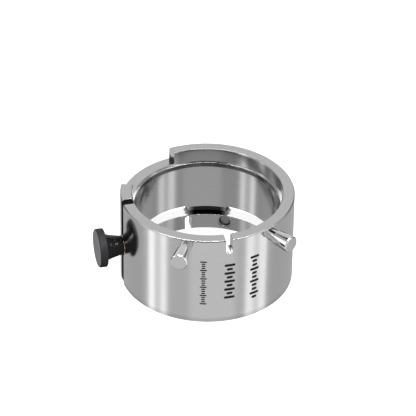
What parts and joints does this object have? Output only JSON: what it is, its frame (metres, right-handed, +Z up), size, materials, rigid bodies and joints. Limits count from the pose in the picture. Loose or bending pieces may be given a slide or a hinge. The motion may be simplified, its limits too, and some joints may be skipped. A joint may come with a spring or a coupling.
{
  "type": "watch movement holder",
  "caption": "Reversible steel ring that holds a wrist chronograph movement by its edge, with a spring clamp knob and pushers that work its levers.",
  "frame": {"origin": "on the ring's axis, at its lower face", "axes": "+Z up along the ring's axis, towards the upper seat; -Y towards the viewer, between the reset pusher and the stem slot"},
  "size_m": [0.0413, 0.0407, 0.02],
  "materials": {
    "ring_steel": "fine turned, bright",
    "pusher_steel": "polished",
    "knob_acetal": "turned black acetal, semi-gloss",
    "blade_acetal": "milled black acetal",
    "spring_steel": "drawn wire",
    "brass": "turned",
    "screw_steel": "turned"
  },
  "bodies": {
    "ring": {"holder_ring": "ring_steel", "clamp_bush": "brass", "clamp_spring": "spring_steel", "blanking_screws": "screw_steel", "start_pusher_tube": "pusher_steel", "start_pusher_spring": "spring_steel", "reset_pusher_tube": "pusher_steel", "reset_pusher_spring": "spring_steel"},
    "clamp": {"clamp_knob": "knob_acetal", "clamp_stud": "screw_steel", "clamp_blade": "blade_acetal"},
    "start_pusher": {"start_pusher_cap": "pusher_steel", "start_pusher_stem": "screw_steel", "start_pusher_clip": "spring_steel"},
    "reset_pusher": {"reset_pusher_cap": "pusher_steel", "reset_pusher_stem": "screw_steel", "reset_pusher_clip": "spring_steel"}
  },
  "joints": [
    {"name": "clamp_pull", "type": "slide", "parent": "ring", "child": "clamp", "axis": [-0.9668, -0.2554, 0], "range_m": [-0.0002, 0.0005], "stiffness_N_per_m": 120, "springref_m": -0.0006, "deforming": ["clamp_spring"]},
    {"name": "start_press", "type": "slide", "parent": "ring", "child": "start_pusher", "axis": [-0.7278, 0.6858, 0], "range_m": [0, 0.001], "stiffness_N_per_m": 100, "springref_m": -0.0003, "deforming": ["start_pusher_spring"]},
    {"name": "reset_press", "type": "slide", "parent": "ring", "child": "reset_pusher", "axis": [0.2368, 0.9715, 0], "range_m": [0, 0.001], "stiffness_N_per_m": 100, "springref_m": -0.0003, "deforming": ["reset_pusher_spring"]}
  ]
}
